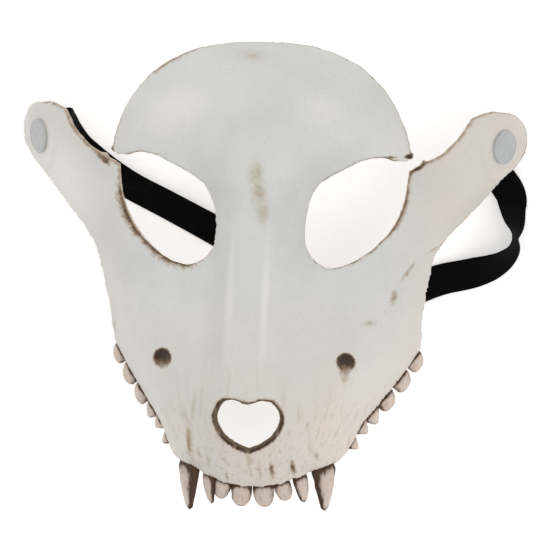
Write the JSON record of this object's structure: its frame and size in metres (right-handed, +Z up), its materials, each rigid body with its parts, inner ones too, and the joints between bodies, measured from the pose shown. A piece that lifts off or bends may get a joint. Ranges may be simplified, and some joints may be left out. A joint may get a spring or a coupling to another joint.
{
  "type": "skull mask",
  "caption": "Hollow half mask in the form of an animal's skull with fangs, heart-shaped nose hole, arched cheek arms and an elastic strap riveted to the arm ends.",
  "frame": {"origin": "centre of the bounding box at the surface that the mask lies on", "axes": "+X across the face towards the viewer's right, +Y from the teeth to the forehead, +Z up out of the mask's front"},
  "size_m": [0.2614, 0.236, 0.0968],
  "materials": {
    "moulded_foam": "matt bone-white paint over moulded foam",
    "tooth_paint": "matt beige paint with a dark wash",
    "rivet_plastic": "smooth grey plastic",
    "woven_elastic": "woven black elastic"
  },
  "bodies": {
    "root": {"canine_left": "tooth_paint", "canine_right": "tooth_paint", "cheek_tooth_left_1": "tooth_paint", "cheek_tooth_left_2": "tooth_paint", "cheek_tooth_left_3": "tooth_paint", "cheek_tooth_left_4": "tooth_paint", "cheek_tooth_left_5": "tooth_paint", "cheek_tooth_left_6": "tooth_paint", "cheek_tooth_right_1": "tooth_paint", "cheek_tooth_right_2": "tooth_paint", "cheek_tooth_right_3": "tooth_paint", "cheek_tooth_right_4": "tooth_paint", "cheek_tooth_right_5": "tooth_paint", "cheek_tooth_right_6": "tooth_paint", "elastic_strap": "woven_elastic", "incisor_left_1": "tooth_paint", "incisor_left_2": "tooth_paint", "incisor_left_3": "tooth_paint", "incisor_right_1": "tooth_paint", "incisor_right_2": "tooth_paint", "incisor_right_3": "tooth_paint", "rivet_left": "rivet_plastic", "rivet_right": "rivet_plastic", "skull_shell": "moulded_foam"}
  },
  "joints": []
}
